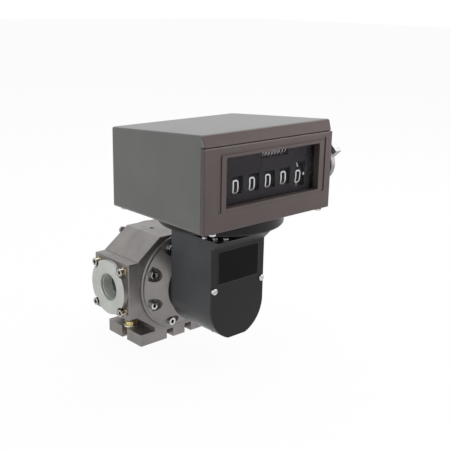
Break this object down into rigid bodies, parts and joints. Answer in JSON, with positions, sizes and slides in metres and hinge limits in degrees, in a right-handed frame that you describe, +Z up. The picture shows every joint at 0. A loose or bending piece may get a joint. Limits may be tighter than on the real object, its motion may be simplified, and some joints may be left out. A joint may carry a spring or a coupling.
{
  "type": "positive displacement flow meter",
  "caption": "Flow meter with rotors in an octagonal metal body between pipe flanges, a gear housing in front and a counter with number wheels and a reset knob on a round support.",
  "frame": {"origin": "centre of the underside of the meter's base", "axes": "+X along the flow from the inlet flange to the outlet flange, +Y from the counter's window towards the back of the meter body, +Z up"},
  "size_m": [0.2807, 0.3193, 0.3853],
  "materials": {
    "body_metal": "machined and bead blasted, hard anodised, satin",
    "cover_metal": "machined and hard anodised, satin",
    "screw_chrome": "bright plated",
    "dark_screw": "blackened and plated steel",
    "zinc_yellow": "yellow zinc plated steel",
    "housing_black": "black gloss enamel",
    "counter_paint": "grey metallic hammertone enamel",
    "frame_paint": "brown grey metallic hammertone enamel",
    "window_glass": "clear",
    "dial_black": "matt black",
    "wheel_plastic": "black with white digits",
    "knob_plastic": "black",
    "steel": "ground",
    "gear_steel": "cut",
    "brass": "turned",
    "bronze": "turned",
    "rotor_metal": "milled",
    "rubber": "moulded",
    "plated_steel": "folded sheet, zinc plated"
  },
  "bodies": {
    "meter": {"meter_body": "body_metal", "bearing_plate": "steel", "front_cover": "cover_metal", "rear_cover": "cover_metal", "seal_rings": "rubber", "cover_screws": "screw_chrome", "inlet_flange": "body_metal", "outlet_flange": "body_metal", "flange_screws": "dark_screw", "flange_lock_washers": "zinc_yellow", "foot_bolts": "zinc_yellow", "foot_washers": "screw_chrome", "rotor_bushes": "bronze", "output_seal": "rubber", "gear_train_bushes": "bronze", "gear_housing": "housing_black", "housing_front_plate": "housing_black", "plate_screws": "screw_chrome", "housing_top_screws": "screw_chrome", "neck_screws": "steel", "counter_mount_disc": "counter_paint", "counter_case": "counter_paint", "counter_front_frame": "frame_paint", "window_glass": "window_glass", "counter_floor_plate": "plated_steel", "counter_screws": "screw_chrome", "dial_plate": "dial_black", "mechanism_frame": "plated_steel", "totaliser_bracket": "plated_steel"},
    "drive_rotor": {"drive_rotor": "rotor_metal", "drive_rotor_shaft": "steel", "drive_timing_gear": "gear_steel"},
    "idle_rotor": {"idle_rotor": "rotor_metal", "idle_rotor_shaft": "steel", "idle_timing_gear": "gear_steel"},
    "output_shaft": {"output_shaft": "steel", "large_change_gear": "brass"},
    "cross_shaft": {"cross_shaft": "steel", "cross_bevel_gear": "gear_steel", "small_change_gear": "brass"},
    "vertical_shaft": {"vertical_shaft": "steel", "vertical_bevel_gears": "gear_steel"},
    "counter_drive": {"counter_drive_shaft": "steel", "counter_bevel_gear": "gear_steel", "counter_drive_gear": "brass"},
    "number_wheel_1": {"number_wheel_1": "wheel_plastic"},
    "number_wheel_2": {"number_wheel_2": "wheel_plastic"},
    "number_wheel_3": {"number_wheel_3": "wheel_plastic"},
    "number_wheel_4": {"number_wheel_4": "wheel_plastic"},
    "number_wheel_5": {"number_wheel_5": "wheel_plastic"},
    "transfer_pinion_1": {"transfer_pinion_1": "brass"},
    "transfer_pinion_2": {"transfer_pinion_2": "brass"},
    "transfer_pinion_3": {"transfer_pinion_3": "brass"},
    "transfer_pinion_4": {"transfer_pinion_4": "brass"},
    "wheel_shaft": {"wheel_shaft": "steel"},
    "reset": {"reset_knob": "knob_plastic", "reset_shaft": "steel"},
    "totaliser_first_wheel": {"totaliser_first_wheel": "wheel_plastic"},
    "totaliser_upper_wheels": {"totaliser_upper_wheels": "wheel_plastic"}
  },
  "joints": [
    {"name": "drive_rotor_turn", "type": "hinge", "parent": "meter", "child": "drive_rotor", "pos_m": [0, 0, 0.123], "axis": [0, 1, 0], "continuous": true},
    {"name": "idle_rotor_turn", "type": "hinge", "parent": "meter", "child": "idle_rotor", "pos_m": [0, 0, 0.077], "axis": [0, 1, 0], "continuous": true},
    {"name": "output_shaft_turn", "type": "hinge", "parent": "meter", "child": "output_shaft", "pos_m": [0, 0, 0.1], "axis": [0, 1, 0], "continuous": true},
    {"name": "cross_shaft_turn", "type": "hinge", "parent": "meter", "child": "cross_shaft", "pos_m": [0, 0, 0.16], "axis": [0, 1, 0], "continuous": true},
    {"name": "vertical_shaft_turn", "type": "hinge", "parent": "meter", "child": "vertical_shaft", "pos_m": [0, -0.147, 0.2], "axis": [0, 0, 1], "continuous": true},
    {"name": "counter_drive_turn", "type": "hinge", "parent": "meter", "child": "counter_drive", "pos_m": [0, -0.147, 0.28701], "axis": [1, 0, 0], "continuous": true},
    {"name": "number_wheel_5_turn", "type": "hinge", "parent": "meter", "child": "number_wheel_5", "pos_m": [0.0767, -0.1965, 0.3045], "axis": [1, 0, 0], "continuous": true},
    {"name": "number_wheel_4_turn", "type": "hinge", "parent": "meter", "child": "number_wheel_4", "pos_m": [0.0444, -0.1965, 0.3045], "axis": [1, 0, 0], "continuous": true},
    {"name": "number_wheel_3_turn", "type": "hinge", "parent": "meter", "child": "number_wheel_3", "pos_m": [0.0121, -0.1965, 0.3045], "axis": [1, 0, 0], "continuous": true},
    {"name": "number_wheel_2_turn", "type": "hinge", "parent": "meter", "child": "number_wheel_2", "pos_m": [-0.0202, -0.1965, 0.3045], "axis": [1, 0, 0], "continuous": true},
    {"name": "number_wheel_1_turn", "type": "hinge", "parent": "meter", "child": "number_wheel_1", "pos_m": [-0.0525, -0.1965, 0.3045], "axis": [1, 0, 0], "continuous": true},
    {"name": "transfer_pinion_4_turn", "type": "hinge", "parent": "meter", "child": "transfer_pinion_4", "pos_m": [0.06055, -0.22611, 0.27489], "axis": [1, 0, 0], "continuous": true},
    {"name": "transfer_pinion_3_turn", "type": "hinge", "parent": "meter", "child": "transfer_pinion_3", "pos_m": [0.02825, -0.22611, 0.27489], "axis": [1, 0, 0], "continuous": true},
    {"name": "transfer_pinion_2_turn", "type": "hinge", "parent": "meter", "child": "transfer_pinion_2", "pos_m": [-0.00405, -0.22611, 0.27489], "axis": [1, 0, 0], "continuous": true},
    {"name": "transfer_pinion_1_turn", "type": "hinge", "parent": "meter", "child": "transfer_pinion_1", "pos_m": [-0.03635, -0.22611, 0.27489], "axis": [1, 0, 0], "continuous": true},
    {"name": "totaliser_first_wheel_turn", "type": "hinge", "parent": "meter", "child": "totaliser_first_wheel", "pos_m": [0.04532, -0.2235, 0.348], "axis": [1, 0, 0], "continuous": true},
    {"name": "totaliser_upper_wheels_turn", "type": "hinge", "parent": "meter", "child": "totaliser_upper_wheels", "pos_m": [0.01833, -0.2235, 0.348], "axis": [1, 0, 0], "continuous": true},
    {"name": "reset_knob_turn", "type": "hinge", "parent": "meter", "child": "reset", "pos_m": [0.121, -0.22478, 0.3145], "axis": [1, 0, 0], "range_deg": [0, 360]},
    {"name": "wheel_shaft_turn", "type": "hinge", "parent": "meter", "child": "wheel_shaft", "pos_m": [0.02, -0.1965, 0.3045], "axis": [1, 0, 0], "range_deg": [-360, 0]}
  ],
  "couplings": [
    {"joint": "idle_rotor_turn", "follows": "drive_rotor_turn", "ratio": -1},
    {"joint": "output_shaft_turn", "follows": "drive_rotor_turn", "ratio": -1},
    {"joint": "cross_shaft_turn", "follows": "drive_rotor_turn", "ratio": 1.5},
    {"joint": "vertical_shaft_turn", "follows": "drive_rotor_turn", "ratio": -1.5},
    {"joint": "counter_drive_turn", "follows": "drive_rotor_turn", "ratio": -1.5},
    {"joint": "number_wheel_5_turn", "follows": "drive_rotor_turn", "ratio": 0.83333},
    {"joint": "number_wheel_4_turn", "follows": "drive_rotor_turn", "ratio": 0.083333},
    {"joint": "number_wheel_3_turn", "follows": "drive_rotor_turn", "ratio": 0.0083333},
    {"joint": "number_wheel_2_turn", "follows": "drive_rotor_turn", "ratio": 0.00083333},
    {"joint": "number_wheel_1_turn", "follows": "drive_rotor_turn", "ratio": 0.000083333},
    {"joint": "transfer_pinion_4_turn", "follows": "drive_rotor_turn", "ratio": -0.34615},
    {"joint": "transfer_pinion_3_turn", "follows": "drive_rotor_turn", "ratio": -0.034615},
    {"joint": "transfer_pinion_2_turn", "follows": "drive_rotor_turn", "ratio": -0.0034615},
    {"joint": "transfer_pinion_1_turn", "follows": "drive_rotor_turn", "ratio": -0.00034615},
    {"joint": "totaliser_first_wheel_turn", "follows": "drive_rotor_turn", "ratio": 0.083333},
    {"joint": "totaliser_upper_wheels_turn", "follows": "drive_rotor_turn", "ratio": 0.0083333},
    {"joint": "wheel_shaft_turn", "follows": "reset_knob_turn", "ratio": -1}
  ]
}
